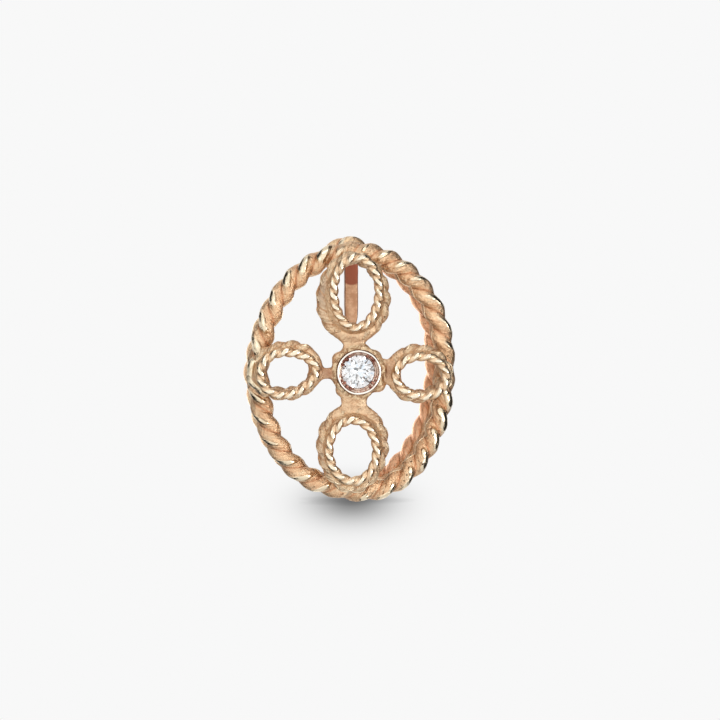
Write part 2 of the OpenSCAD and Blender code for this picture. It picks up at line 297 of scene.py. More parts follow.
def rose_gold(name, crown, flank, groove, wall, crown_rough, flank_rough, rope, rub_edge=0.05,
              grain_mm=0.2, grain=0.8, marks=1.0, pit=0.0, relief=0.00017, inner_tone=None):
    """Twisted 14 karat rose gold wire. The crowns are rubbed bright: real polish, with a painted
    highlight in their paler colour. The flanks keep the satin of the torch and the pickle, the
    grooves carry painted shade as thin redder lines, and the inner side can carry painted light."""
    material, add = new_material(name)
    place = add("TexCoord").outputs["Object"]
    strand = add("UVMap", uv_map="strand")
    across = add("Math", [add("SeparateXYZ", [strand])], operation="ABSOLUTE")
    rubbed, filled = [add("Attribute", attribute_name=word).outputs["Fac"] for word in ("rubbed", "filled")]
    # A noise takes place, scale, detail and roughness; a range without results gives 0 to 1
    blotch = add("TexNoise", [place, per_mm(0.7), 4, 0.6])
    fine = add("TexNoise", [place, per_mm(grain_mm), 3, 0.7])
    # Wrinkles run along each strand, about 0.25 mm apart (finer ones are below one pixel)
    stretched = add("Mapping", {"Vector": strand, "Scale": (0.6 * rope / 0.25, 1.9 * rope / 0.9, 1.0)})
    drawn = add("TexNoise", {
        "Vector": stretched, "Scale": 1.0, "Detail": 2, "Roughness": 0.6, "Distortion": 0.6})
    # The bright area has a ragged edge, finer where the grain shows through
    ragged = add("Math", [blotch, 0.5, rubbed], operation="MULTIPLY_ADD")
    ragged = add("Math", [fine, 0.2, ragged], operation="MULTIPLY_ADD")
    # The rubbed places are real polish, with lower roughness, and carry a painted highlight in the paler
    # crown colour
    bright = add("MapRange", [ragged, rub_edge + 0.26, rub_edge + 0.7], interpolation_type="SMOOTHSTEP")
    redness = add("MapRange", [blotch, 0.48, 0.75, 0.0, 0.6])
    layers = [(redness, groove)]
    # Painted light: the inner side of the rope is drawn paler and redder where little light reaches it
    if inner_tone:
        layers.append((add("Attribute", attribute_name="inner").outputs["Fac"], inner_tone))
    speckle = add("MapRange", [fine, 0.54, 0.64, 0.0, 0.28])
    # The wrinkles carry painted shade in their hollows and a painted highlight on their ridges, over the
    # bump that raises them
    wrinkle = add("MapRange", [drawn, 0.38, 0.48, 0.5 * marks, 0.0])
    ridge = add("MapRange", [drawn, 0.54, 0.62, 0.0, 0.45 * marks])
    walled = add("MapRange", [filled, 0.5, 0.9])
    # Painted shade: the grooves darken to thin redder lines
    line = add("MapRange", [across, 0.76, 1.0, 0.0, 0.9], interpolation_type="SMOOTHSTEP")
    # Painted shade: a dark crease at the bottom of a groove, where no solder fills it and not all
    # the way
    crease = add("MapRange", [across, 0.93, 0.98, 0.0, 0.4])
    for share in (add("Math", [1.0, filled], operation="SUBTRACT"),
                  add("MapRange", [blotch, 0.4, 0.55, 1.0, 0.25])):
        crease = add("Math", [crease, share], operation="MULTIPLY")
    layers += [(speckle, "#b68a64"), (wrinkle, groove), (ridge, crown), (walled, wall), (line, groove),
               (crease, "#8a6046"), (bright, crown)]
    rough = add("MapRange", [bright, 0.0, 1.0, flank_rough, crown_rough])
    rough = add("Math", [fine, 0.14, rough], operation="MULTIPLY_ADD")
    rough = add("Math", [rough, 0.07], operation="SUBTRACT")
    height = add("Math", [walled, -0.6 * marks, 0.75 * marks], operation="MULTIPLY_ADD")
    height = add("Math", [drawn, height], operation="MULTIPLY")
    height = add("Math", [fine, grain, height], operation="MULTIPLY_ADD")
    height = add("Math", [blotch, 0.8, height], operation="MULTIPLY_ADD")
    dull = add("MapRange", [bright, 0.0, 1.0, 1.0, 0.18])
    height = add("Math", [height, dull], operation="MULTIPLY")
    if pit:
        # Casting pits in some of the blotches, and wherever the rope says so
        dots = add("TexVoronoi", {"Vector": place, "Scale": per_mm(0.38)})
        hole = add("MapRange", [dots, 0.1, 0.24, 1.0, 0.0], interpolation_type="SMOOTHSTEP")
        some = add("MapRange", [blotch, 0.58, 0.63, 0.0, 0.8])
        pitted = add("Attribute", attribute_name="pitted").outputs["Fac"]
        some = add("Math", [some, pitted], operation="MAXIMUM")
        hole = add("Math", [hole, some], operation="MULTIPLY")
        height = add("Math", [hole, -pit, height], operation="MULTIPLY_ADD")
        layers.append((hole, "#6a4a36"))
    colour = srgb(flank)
    for share, tone in layers:
        colour = add("Mix", [share, colour, srgb(tone)], data_type="RGBA")
    finish_metal(add, colour, rough, height, 0.8, relief)
    return material


# Columns: place round the rope and half length in degrees, place and half width across the
# strand, turn along the rim and how far to each side, strength
# Each rub is real polish and a painted highlight
RIM_RUBS = [
    (42, 60, -0.18, 0.78, 138, 38, 1.0),
    (62, 46, -0.33, 0.3, 48, 36, 0.65),
    (88, 30, -0.30, 0.42, 322, 38, 0.9),
    (48, 40, -0.02, 0.8, 312, 36, 0.9),
    (44, 30, -0.10, 0.55, 27, 14, 0.75),
    (48, 68, -0.26, 0.36, 218, 36, 1.0),
    (58, 46, -0.38, 0.24, 268, 16, 0.25),
]
# Solder runs into the grooves where the petals cross the rim: turn, share, spread
RIM_FILLS = [(6, 0.8, 13), (90, 0.6, 12), (176, 0.7, 12), (270, 0.7, 14), (226, 0.3, 24)]
rim_gold = rose_gold(
    "satin_rope_gold", crown="#eedcbf", flank="#e7c49f", groove="#d59e77", wall="#d0aa84",
    crown_rough=0.2, flank_rough=0.45, rope=RIM_ROPE, pit=1.2, marks=0.75, grain=0.85, relief=0.00015,
    inner_tone="#f6d0a8")
rim_front = twisted_rope(
    "rim_front_rope", rim_route, RIM_ROPE, RIM_LOBES, RIM_FIRST, RIM_DRIFT, around=60, rings=24, seed=3,
    fills=RIM_FILLS, rubs=RIM_RUBS, pits=[(314, 1.0, 17)], worn=0.008, rugged=0.013)
rim_front.data.materials.append(rim_gold)
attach(rim_front, "root")
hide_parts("rim_front")


def rubbed_edge(name, route, diameter, lobes, first, side, radius, drift=(), middle_turn=0.0,
                reach_turn=200.0, rings=16, around=8):
    """A fine raised edge on a rope ring at one side, where a tool has drawn its skin up.

    It sinks into the rope farther than reach_turn from middle_turn.
    """
    turn, centre, outward, front, lobe = rope_rings(route, lobes, rings, first, drift)
    phi = np.radians(side)
    reach = two_wires(phi - pi * lobe, diameter)
    sunk = np.clip((turns_off(turn, middle_turn) - reach_turn) / 12, 0, 1) * 4 * radius
    middle = centre + (reach - 0.3 * radius - sunk)[:, None] * (np.cos(phi) * outward + np.sin(phi) * front)
    middle += 0.012 * unevenness(middle, 1.1, 77)[:, None] * front
    a = circle(around)[None, :, None]
    swell = radius * (1 + 0.35 * unevenness(middle, 0.9, 78))[:, None, None]
    points = middle[:, None, :] + swell * (np.cos(a) * outward[:, None, :] + np.sin(a) * front[:, None, :])
    # The edge takes mostly the paler crown colour, a painted highlight over its polish
    bright = np.full(len(turn) * around, 0.85)
    return smooth_piece(name, points, tube_faces(len(turn), around), rubbed=bright)


inner_edge = rubbed_edge(
    "rim_inner_edge", rim_route, RIM_ROPE, RIM_LOBES, RIM_FIRST, side=163, radius=0.032, drift=RIM_DRIFT)
inner_edge.data.materials.append(rim_gold)
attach(inner_edge, "root")

# Back rope of the rim. The same twisted wire in a thinner gauge, soldered behind the front rope
# and hardly polished. It only shows inside and at the top; its inner side carries painted light,
# paler and redder, where the lights hardly reach it.
BACK_ROPE = 1.4
BACK_LOBES = 30
BACK_SWELLS = [(298, 0.24, 22), (358, -0.2, 22), (95, 0.7, 9), (181, 0.16, 8)]
# Columns as in RIM_RUBS; the second is the streak on the lobe that stands up at the top
BACK_RUBS = [(0, 50, -0.2, 0.25, 0, 180, 0.4), (64, 44, -0.6, 0.26, 97, 9, 1.3)]
back_depth = (RIM_ROPE + BACK_ROPE) / 2
back_route = partial(rim_route, x=-0.2, y=back_depth, inset=0.2, lean=-4, swells=BACK_SWELLS)


def solder_bed(name, low_route, high_route, half_thick, sides=16, count=144):
    """A ring of solder that fills the gap between two ropes laid one on the other."""
    turn = np.arange(count) * 360 / count
    low, high = low_route(turn), high_route(turn)
    middle = (low + high) / 2
    span = np.linalg.norm(high - low, axis=1)[:, None]
    rise = (high - low) / span
    flat = unit(np.cross(unit(np.roll(middle, -1, axis=0) - np.roll(middle, 1, axis=0)), rise))
    a = circle(sides)[None, :, None]
    wobble = 1 + 0.06 * np.sin(np.radians(turn) * 9)[:, None]
    points = (middle[:, None, :] + (span / 2 + 0.08)[:, None, :] * np.cos(a) * rise[:, None, :]
              + half_thick * wobble[:, None, :] * np.sin(a) * flat[:, None, :])
    return smooth_piece(name, points, tube_faces(count, sides))


back_gold = rose_gold(
    "pickled_rope_gold", crown="#f4e2c6", flank="#e6c8a2", groove="#d09975", wall="#cc9472",
    crown_rough=0.24, flank_rough=0.47, rope=BACK_ROPE, rub_edge=0.1, pit=1.0, marks=0.7, relief=0.00013,
    inner_tone="#ffcca6")
rim_back = twisted_rope(
    "rim_back_rope", back_route, BACK_ROPE, BACK_LOBES, RIM_FIRST, around=48, rings=20, seed=5, fill=0.1,
    rubs=BACK_RUBS, worn=0.02)
rim_back.data.materials.append(back_gold)
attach(rim_back, "root")
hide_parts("rim_back")
rim_solder = solder_bed("rim_solder", rim_route, back_route, 0.34, count=288)
rim_solder.data.materials.append(back_gold)
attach(rim_solder, "root")

# Base loops of the petals. Four rings of 1 mm rope soldered across the front of the rim and to
# the collar; heat and pickle leave them matte, with the solder softening their grooves.
BASE_ROPE = 1.0
NEST = 0.1
base_depth = -(RIM_ROPE + BASE_ROPE) / 2 + NEST
# Columns: heading from the collar, middle x, middle z, half length, half width,
# widening away from the collar, lean, lobes, first lobe
BASE_LOOPS = {
    "top": (90, -0.2, 5.44, 2.67, 2.14, -0.1, 0, 14, 0.3),
    "right": (0, 4.53, -0.02, 1.88, 1.6, -0.14, -4, 11, 0.3),
    "bottom": (270, -0.25, -5.22, 2.65, 2.08, -0.12, 0, 14, 0.3),
    "left": (180, -5.05, 0.35, 2.2, 1.6, -0.1, 6, 12, 0.3),
}


def petal_route(turn, row, depth):
    """Points of a petal's loop: the turn starts at the end away from the collar."""
    heading, x, z, half_length, half_width, widening, lean = row[:7]
    u = half_length * np.cos(np.radians(turn))
    v = half_width * np.sin(np.radians(turn)) * (1 + widening * np.cos(np.radians(turn)))
    c, s = cos(radians(heading + lean)), sin(radians(heading + lean))
    return np.stack([x + u * c - v * s, np.full_like(u, depth), z + u * s + v * c], axis=-1)


base_routes = {
    side: partial(petal_route, row=row, depth=base_depth) for side, row in BASE_LOOPS.items()}
# The wheel touched every loop and also the far end of the left petal. Columns as in RIM_RUBS
BASE_RUB = (15, 50, -0.2, 0.35, 0, 180, 0.6)
LEFT_END_RUB = (44, 60, 0.0, 1.8, 4, 38, 1.2)
# Solder in the grooves: share all round, then (turn, more, spread), the turn starting at the
# end away from the collar and going through the loop's left as seen from the collar. Where it
# fills, the base gold's grey-brown wall colour also stands as painted shade on the shaded side walls.
BASE_FILLS = {
    "top": (0.1, [(80, 0.7, 42), (135, 0.25, 30), (180, 0.2, 40)]),
    "right": (0.1, [(180, 0.25, 40)]),
    "bottom": (0.05, [(275, 0.6, 45), (180, 0.25, 40)]),
    "left": (0.1, [(180, 0.25, 40), (4, 0.9, 34)]),
}
base_gold = rose_gold(
    "matte_petal_gold", crown="#efe0c4", flank="#e8ccaa", groove="#c89f7d", wall="#bea690",
    crown_rough=0.3, flank_rough=0.5, rope=BASE_ROPE, rub_edge=0.2, pit=1.0)
for number, (side, row) in enumerate(BASE_LOOPS.items()):
    fill, fills = BASE_FILLS[side]
    rubs = [BASE_RUB, LEFT_END_RUB] if side == "left" else [BASE_RUB]
    loop = twisted_rope(
        f"petal_{side}_base_rope", base_routes[side], BASE_ROPE, row[7], row[8], around=44, rings=20,
        seed=11 + number, fill=fill, fills=fills, rubs=rubs, worn=0.01, rugged=0.03)
    loop.data.materials.append(base_gold)
    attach(loop, "root")
    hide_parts(f"petal_{side}_base")

# Columns: petal, side of the rope in degrees, and the turn and reach of a thin rubbed edge on it
BASE_EDGES = [
    ("top", 62, 0, 34), ("bottom", 66, 0, 40), ("bottom", 22, 4, 34), ("left", 62, 0, 46),
    ("right", 66, 355, 46), ("right", 30, 350, 40)]
for number, (side, place, middle_turn, reach_turn) in enumerate(BASE_EDGES):
    lobes, first = BASE_LOOPS[side][7:]
    thin = rubbed_edge(
        f"petal_{side}_edge_{number}", base_routes[side], BASE_ROPE, lobes, first, place, 0.035,
        middle_turn=middle_turn, reach_turn=reach_turn)
    thin.data.materials.append(rim_gold)
    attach(thin, "root")

# Trim loops of the petals. Finer 0.7 mm rope laid on top of each base loop as the last layer,
# which takes the polishing wheel: every lobe carries a bright oval facet.
TRIM_ROPE = 0.7
trim_depth = base_depth - (BASE_ROPE + TRIM_ROPE) / 2
# Columns as in BASE_LOOPS
TRIM_LOOPS = {
    "top": (90, -0.14, 5.76, 2.41, 1.59, 0.04, 0, 17, 0.14),
    "right": (0, 4.42, -0.1, 1.79, 1.38, 0.04, -6, 12, 0.22),
    "bottom": (270, -0.39, -5.2, 2.14, 1.68, 0, 4, 15, 0.1),
    "left": (180, -4.88, 0.3, 1.93, 1.44, 0.16, 6, 14, 0.14),
}
# Columns as in RIM_RUBS
TRIM_RUB = (80, 56, -0.05, 0.6, 0, 180, 1.0)
trim_gold = rose_gold(
    "polished_trim_gold", crown="#f3e5ce", flank="#ecd0ae", groove="#c79e7a", wall="#d9b792",
    crown_rough=0.16, flank_rough=0.42, rope=TRIM_ROPE, rub_edge=0.05, grain_mm=0.14, grain=0.6,
    marks=0.6, relief=0.00005)
for number, (side, row) in enumerate(TRIM_LOOPS.items()):
    trim_route = partial(petal_route, row=row, depth=trim_depth)
    loop = twisted_rope(
        f"petal_{side}_trim_rope", trim_route, TRIM_ROPE, row[7], row[8], around=40, rings=20,
        uneven=0.05, seed=21 + number, fill=0.12, rubs=[TRIM_RUB], worn=0.02)
    loop.data.materials.append(trim_gold)
    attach(loop, "root")
    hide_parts(f"petal_{side}_trim")
    bed = solder_bed(f"petal_{side}_solder", base_routes[side], trim_route, 0.2)
    bed.data.materials.append(base_gold)
    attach(bed, "root")

# Collar and solder webs. A ring of finer rope round the stem of the setting, flooded with solder,
# from which four webs flare over the near ends of the petals; matte from the torch and the pickle.
COLLAR_ROPE = 0.76
COLLAR_RADIUS = 1.54
COLLAR_LOBES = 9
COLLAR_MIDDLE = (0.11, 0.23)
COLLAR_BORE = 1.06
BEZEL_MIDDLE = (-0.03, 0.28)
collar_depth = base_depth - 0.2
# Columns: middle across, half width at the collar, at the waist and at the petal, and how far
# from the rim's middle the waist is
WEBS = {
    "top": (-0.17, 0.85, 0.76, 1.45, 2.0),
    "right": (0.2, 0.9, 0.86, 1.1, 2.15),
    "bottom": (-0.18, 0.95, 0.9, 1.45, 2.0),
    "left": (0.13, 0.5, 0.38, 0.85, 2.15),
}
WEB_START = 1.5
WEB_HALF_THICK = 0.3
# The web runs this many degrees up each side of the petal's near end
WEB_ARM = 62
# Columns: middle x, middle z and radius of the drops of solder left on the ring
SOLDER_DROPS = [(-1.30, 1.16, 0.42), (1.56, -0.82, 0.4), (-1.14, -1.02, 0.36), (1.3, 1.28, 0.34)]


def skin(name, field, low, high, step, **values):
    """Closed mesh where a field of distances in mm crosses zero, one vertex in each mixed cell."""
    axes = [np.arange(a, b + step, step) for a, b in zip(low, high)]
    value = field(np.stack(np.meshgrid(*axes, indexing="ij"), axis=-1))
    shape = np.array(value.shape)
    inside = (value < 0).astype(int)
    total = sum(inside[tuple(slice(c, size - 1 + c) for c, size in zip(corner, shape))]
                for corner in product((0, 1), repeat=3))
    mixed = (total > 0) & (total < 8)
    index = np.full(mixed.shape, -1)
    index[mixed] = np.arange(mixed.sum())
    where = np.zeros(mixed.shape + (3,))
    hits = np.zeros(mixed.shape)
    quads = []
    for axis in range(3):
        u, v = [a for a in range(3) if a != axis]
        first, last, inner, part = [[slice(None)] * 3 for _ in range(4)]
        first[axis], last[axis] = slice(0, -1), slice(1, None)
        a, b = value[tuple(first)], value[tuple(last)]
        cross = (a < 0) != (b < 0)
        share = np.where(cross, a / np.where(cross, a - b, 1), 0)
        for du, dv in product((0, 1), repeat=2):
            part[u], part[v] = slice(du, shape[u] - 1 + du), slice(dv, shape[v] - 1 + dv)
            c = cross[tuple(part)]
            where[..., axis] += share[tuple(part)] * c
            where[..., u] += du * c
            where[..., v] += dv * c
            hits += c
        inner[u], inner[v] = slice(1, shape[u] - 1), slice(1, shape[v] - 1)
        edges = np.argwhere(cross[tuple(inner)])
        edges[:, [u, v]] += 1
        outwards = (a < 0)[tuple(edges.T)]
        ring = []
        for du, dv in ((1, 1), (0, 1), (0, 0), (1, 0)):
            cell = edges.copy()
            cell[:, [u, v]] -= (du, dv)
            ring.append(index[tuple(cell.T)])
        quad = np.stack(ring, axis=1)
        flip = outwards if axis == 1 else ~outwards
        quad[flip] = quad[flip][:, ::-1]
        quads.append(quad)
    points = (np.argwhere(mixed) + where[mixed] / hits[mixed][:, None]) * step + low
    return smooth_piece(name, points, np.concatenate(quads).tolist(),
                        **{word: worked_out(points) for word, worked_out in values.items()})


def melt(a, b, blend):
    """Union of two fields with a solder fillet of about the given size between them."""
    h = np.clip(0.5 + 0.5 * (b - a) / blend, 0, 1)
    return b * (1 - h) + a * h - blend * h * (1 - h)


def ball(p, middle, radius):
    """Distance from a ball."""
    return np.sqrt(sum((p[..., axis] - middle[axis]) ** 2 for axis in range(3))) - radius


def collar_field(p):
    """Distance, in mm, from the collar's rope ring and its four webs."""
    x, y, z = p[..., 0], p[..., 1], p[..., 2]
    dx, dz = x - COLLAR_MIDDLE[0], z - COLLAR_MIDDLE[1]
    away = np.hypot(dx, dz)
    section = np.arctan2(collar_depth - y, away - COLLAR_RADIUS)
    theta = section - COLLAR_LOBES * np.arctan2(dz, dx) / 2
    total = np.hypot(away - COLLAR_RADIUS, collar_depth - y) - two_wires(theta, COLLAR_ROPE, 0.15, 0.35)
    for side, (middle, wide_start, waist, wide_end, neck) in WEBS.items():
        turn = radians(BASE_LOOPS[side][0])
        out = x * cos(turn) + z * sin(turn)
        across = x * abs(sin(turn)) + z * abs(cos(turn)) - middle
        end = base_routes[side](np.array([180.0]))[0] @ [cos(turn), 0, sin(turn)]
        before = np.clip((neck - out) / (neck - WEB_START), 0, 1)
        after = np.clip((out - neck) / (end + 0.1 - neck), 0, 1.25)
        half = waist + (wide_start - waist) * before ** 2 + (wide_end - waist) * after ** 1.7
        reached = np.clip((out - WEB_START) / (end - WEB_START), 0, 1)
        depth = collar_depth + (base_depth - collar_depth) * reached
        thick = WEB_HALF_THICK * (1 - 0.12 * np.clip(1 - np.abs(out - neck) / 0.5, 0, 1))
        plate = (np.abs(across / half) ** 3 + np.abs((y - depth) / thick) ** 3) ** (1 / 3) - 1
        plate = np.maximum(plate * np.minimum(half, thick), out - end - 0.22)
        plate = -melt(-plate, out - 1.3, 0.2)
        arms = np.full(total.shape, 9.0)
        for step in np.linspace(-WEB_ARM, WEB_ARM, 25):
            point = base_routes[side](np.array([180.0 + step]))[0]
            arms = np.minimum(arms, ball(p, point, 0.5 * BASE_ROPE * (1.0 - 0.45 * (step / WEB_ARM) ** 2)))
        total = melt(total, melt(plate, arms, 0.2), 0.16)
    for blob_x, blob_z, size in SOLDER_DROPS:
        total = melt(total, ball(p, (blob_x, collar_depth, blob_z), size), 0.25)
    ripple = 0.012 * unevenness(p, 0.7, 31) + 0.008 * unevenness(p, 0.3, 32)
    around_bezel = np.stack([dx / away, dz / away, away * 1.5], axis=-1)
    ripple = ripple + 0.03 * np.clip((2.0 - away) / 0.2, 0, 1) * unevenness(around_bezel, 0.6, 33)
    bore = COLLAR_BORE - np.hypot(x - BEZEL_MIDDLE[0], z - BEZEL_MIDDLE[1])
    return np.maximum(total + ripple, bore)


# Painted shade: darker, redder spots on the webs next to the ring, where the petals hem them in.
# Columns: how much, middle x and z, spread in x and z
HEATED = [(0.42, 2.3, 0.25, 0.5, 0.8), (0.4, 2.03, 0.2, 0.11, 0.4), (0.7, -2.05, 0.2, 0.55, 0.6)]


def reddened_at(p):
    """How much painted shade, darker and redder, lies on the collar at each point."""
    return sum(much * np.exp(-((p[:, 0] - x) / wide) ** 2 - ((p[:, 2] - z) / high) ** 2)
               for much, x, z, wide, high in HEATED)


def ring_at(p):
    """One on the collar's own ring, none on its webs."""
    return np.clip((1.95 - np.hypot(p[:, 0] - COLLAR_MIDDLE[0], p[:, 2] - COLLAR_MIDDLE[1])) / 0.12, 0, 1)


def soldered_gold(name, light, shade, stain, rough, grain_mm, grain, tint_mm=0.7, ring=None):
    """14 karat gold flooded with solder and pickled. The skin is dull and slightly rippled, greener
    on the solder, with darker stain speckled at random; painted shade darkens and reddens it in
    given spots, and on the ring in the hollows of its folds."""
    material, add = new_material(name)
    place = add("TexCoord").outputs["Object"]
    tint = add("TexNoise", [place, per_mm(tint_mm), 4, 0.6])
    fine = add("TexNoise", [place, per_mm(grain_mm), 3, 0.7])
    folds = add("TexNoise", {"Vector": place, "Scale": per_mm(0.45), "Detail": 2, "Distortion": 1.2})
    much = add("MapRange", [tint, 0.35, 0.65])
    speckle = add("MapRange", [fine, 0.5, 0.72, 0.0, 0.6])
    heat = add("Attribute", attribute_name="reddened").outputs["Fac"]
    colour = srgb(light)
    for share, tone in ((much, shade), (speckle, stain), (heat, "#a56f54")):
        colour = add("Mix", [share, colour, srgb(tone)], data_type="RGBA")
    sheen = rough
    if ring:
        # The collar's own ring is greener, smoother and more worn than the webs, with painted shade
        # in the hollows of its folds
        olive, ring_rough = ring
        on_ring = add("Attribute", attribute_name="on_ring").outputs["Fac"]
        crease = add("MapRange", [folds, 0.44, 0.5, 1.0, 0.0])
        green = add("Mix", [crease, srgb(olive), srgb("#b39070")], data_type="RGBA")
        colour = add("Mix", [on_ring, colour, green], data_type="RGBA")
        sheen = add("MapRange", [on_ring, 0.0, 1.0, rough, ring_rough])
    roughness = add("Math", [fine, 0.2, sheen], operation="MULTIPLY_ADD")
    roughness = add("Math", [roughness, 0.1], operation="SUBTRACT")
    height = add("Math", [fine, grain, tint], operation="MULTIPLY_ADD")
    height = add("Math", [folds, 1.6, height], operation="MULTIPLY_ADD")
    finish_metal(add, colour, roughness, height, 0.8, 0.00006)
    return material


collar = skin(
    "collar_and_webs", collar_field, (-3.7, -2.1, -3.5), (3.6, -0.6, 3.7), 0.05, on_ring=ring_at,
    reddened=reddened_at)
collar.data.materials.append(soldered_gold(
    "soldered_collar_gold", light="#eed2b0", shade="#e4c09c", stain="#c69672", rough=0.52, grain_mm=0.2,
    grain=0.8, ring=("#e0c8a6", 0.5)))
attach(collar, "root")
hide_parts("collar")

# Setting. A cup turned from solid gold: a stem through the collar, a flared head, a seat cut for
# the stone and a thin lip burnished bright by hand. Beads are raised from the wall at four places.
BEZEL_FRONT = 2.55
# Columns: radius and height over the rim's middle plane, round the section and back to its start
CUP = np.array([
    (0.62, 0.72), (1.02, 0.72), (1.07, 0.76), (1.08, 0.82), (1.08, 1.78), (1.12, 1.86), (1.43, 2.07),
    (1.50, 2.13), (1.54, 2.2), (1.58, 2.36), (1.59, 2.42), (1.575, 2.455), (1.54, 2.51), (1.53, 2.53),
    (1.515, 2.545), (1.485, 2.552), (1.45, 2.55), (1.425, 2.538), (1.41, 2.50), (1.40, 2.42), (1.375, 2.36),
    (1.335, 2.34), (1.30, 2.335), (1.275, 2.31), (1.26, 2.27), (1.225, 2.245), (1.19, 2.235), (1.155, 2.20),
    (1.14, 2.15), (1.135, 2.12), (1.24, 2.08), (1.24, 2.0), (1.10, 1.90), (0.8, 1.64), (0.64, 1.50),
    (0.62, 1.46),
])
# Rows of CUP that are the burnished lip, the wall inside it and the bevel under it, which is
# drawn dark as painted shade
CUP_PARTS = {"lipped": range(13, 19), "inside": range(19, 33), "bevelled": range(9, 13)}
CUP_SIDES = 144
turns = circle(CUP_SIDES)[:, None]
# The burnisher left the lip a hair out of round and out of level
burnish = 1 + 0.004 * np.sin(3 * turns + 0.7) + 0.003 * np.sin(7 * turns + 2.1)
radius = CUP[:, 0] * np.where(CUP[:, 1] > 2.2, burnish, 1)
lift = CUP[:, 1] + np.where(CUP[:, 1] > 2.4, 0.012 * np.sin(2 * turns + 0.4), 0)
turned = [BEZEL_MIDDLE[0] + radius * np.cos(turns), -lift, BEZEL_MIDDLE[1] + radius * np.sin(turns)]
setting = smooth_piece("setting", np.stack(turned, axis=-1), tube_faces(CUP_SIDES, len(CUP)), **{
    part: np.tile(np.isin(np.arange(len(CUP)), rows), CUP_SIDES) for part, rows in CUP_PARTS.items()})

# Beads by the turn of their group. Columns: turn from there in degrees, radius and height of
# each raised bead, and its own radius
BEADS = {
    135: ((-14, 1.28, 2.37, 0.12), (-3, 1.17, 2.30, 0.13), (8, 1.29, 2.38, 0.12), (19, 1.18, 2.3, 0.11)),
    48: ((-12, 1.22, 2.31, 0.10), (1, 1.29, 2.37, 0.11), (13, 1.2, 2.29, 0.10)),
    -42: ((-10, 1.27, 2.36, 0.11), (4, 1.19, 2.29, 0.11), (15, 1.28, 2.36, 0.09)),
    228: ((-12, 1.2, 2.29, 0.11), (2, 1.28, 2.37, 0.12), (14, 1.21, 2.3, 0.1), (-22, 1.27, 2.35, 0.08)),
}
# The graver pushes up a tail behind each bead, out to this radius on the cup's wall
TAIL_END = 1.43


def bead_field(p):
    """Distance from the beads and their tails."""
    total = np.full(p.shape[:-1], 9.0)
    for group, rows in BEADS.items():
        for turn, reach, height, bead in rows:
            c, s = cos(radians(group + turn)), sin(radians(group + turn))
            for share, size in ((0, bead), (0.5, bead * 0.7), (1, bead * 0.5)):
                r = reach + share * (TAIL_END - reach)
                middle = (BEZEL_MIDDLE[0] + r * c, -(height + share * 0.02), BEZEL_MIDDLE[1] + r * s)
                total = melt(total, ball(p, middle, size), 0.05)
    return total


def turned_gold(name, lip, wall, wall_rough):
    """Turned and burnished gold: a mirror on the lip, drawn near white as a painted highlight, a
    redder and duller wall inside the cup, and painted shade on the bevel under the lip.
    """
    material, add = new_material(name)
    place = add("TexCoord").outputs["Object"]
    lipped, inside, bevelled = [add("Attribute", attribute_name=part).outputs["Fac"] for part in CUP_PARTS]
    blotch = add("TexNoise", [place, per_mm(0.3), 4, 0.7])
    spotted = add("MapRange", [blotch, 0.44, 0.58, 0.1, 1.0])
    walled = add("Mix", [spotted, srgb(wall), srgb("#a07462")], data_type="RGBA")
    colour = add("Mix", [blotch, srgb("#e8c8a2"), srgb("#cfa27c")], data_type="RGBA")
    for share, tone in ((lipped, srgb(lip)), (inside, walled), (bevelled, srgb("#6f543f"))):
        colour = add("Mix", [share, colour, tone], data_type="RGBA")
    matte = add("MapRange", [lipped, 0.0, 1.0, 0.3, 0.1])
    rough = add("Mix", [inside, matte, wall_rough], data_type="FLOAT")
    rough = add("Math", [blotch, 0.12, rough], operation="MULTIPLY_ADD")
    finish_metal(add, colour, rough, blotch, 0.25, 0.00003)
    return material


beads = skin("setting_beads", bead_field, (-1.75, -2.6, -1.4), (1.7, -1.95, 2.0), 0.025)
setting.data.materials.append(
    turned_gold("burnished_setting_gold", lip="#fdf6ee", wall="#dcc6b6", wall_rough=0.16))
# The beads' gold is drawn dark red-brown, painted shade among the packed beads
beads.data.materials.append(soldered_gold(
    "graved_bead_gold", light="#b08070", shade="#64342a", stain="#3a1a14", rough=0.1, grain_mm=0.14,
    grain=0.4, tint_mm=0.2))
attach(setting, "root")
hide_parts("bezel")
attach(beads, "root")

# Stone. A round brilliant of about 0.05 carat, its facets ground and polished flat one by one,
# held on its seat under the four groups of beads.
STONE_RADIUS = 1.2
CROWN_HEIGHT = 0.36
PAVILION_HEIGHT = 1.032
TABLE_RADIUS = 0.672
CROWN_POINT_RADIUS = 0.92
PAVILION_POINT_RADIUS = 0.3
girdle_height = BEZEL_FRONT - 0.48
half_eighth = 22.5


def polar(radius, degrees, height):
    """A point at a radius, a turn and a height over the girdle."""
    a = radians(degrees)
    return Vector((radius * cos(a), radius * sin(a), height))


crown_slope = CROWN_HEIGHT / (STONE_RADIUS - TABLE_RADIUS)
half_turn = cos(radians(half_eighth))
crown_point = crown_slope * (STONE_RADIUS - CROWN_POINT_RADIUS * half_turn)
pavilion_point = -PAVILION_HEIGHT * (1 - PAVILION_POINT_RADIUS * half_turn / STONE_RADIUS)
